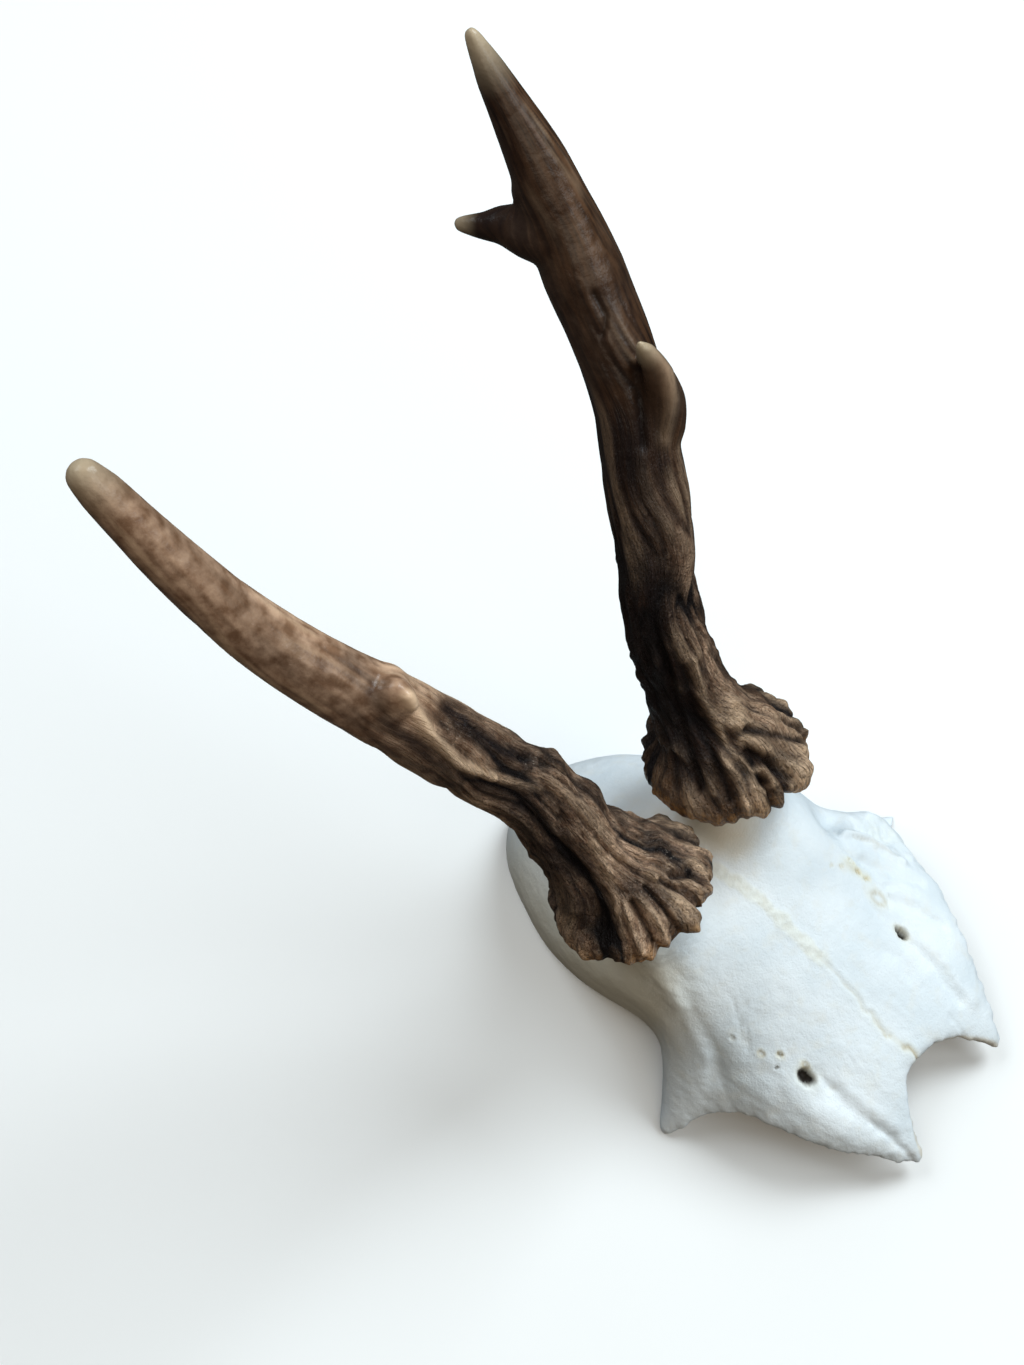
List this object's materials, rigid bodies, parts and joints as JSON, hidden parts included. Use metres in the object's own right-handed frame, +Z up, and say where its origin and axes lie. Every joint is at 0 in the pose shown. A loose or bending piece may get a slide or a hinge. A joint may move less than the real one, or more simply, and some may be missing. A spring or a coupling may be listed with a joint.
{
  "type": "roe deer skull cap with antlers",
  "caption": "Bleached skull cap of a roe buck, sawn level under the braincase, with its antlers: one with three points, the other a long spike with a low knob.",
  "frame": {"origin": "on the level saw cut (Z = 0), below the middle of the whole object's bounding box", "axes": "+Z up from the saw cut, -Y towards the nose end, +X towards the animal's left side"},
  "size_m": [0.1018, 0.1586, 0.1788],
  "materials": {
    "bleached bone": "matt, finely porous, bleached",
    "antler": "dark brown, ridged and pearled below, paler and slightly polished at the tips"
  },
  "bodies": {
    "root": {"skull_cap": "bleached bone", "left_antler": "antler", "right_antler": "antler"}
  },
  "joints": []
}
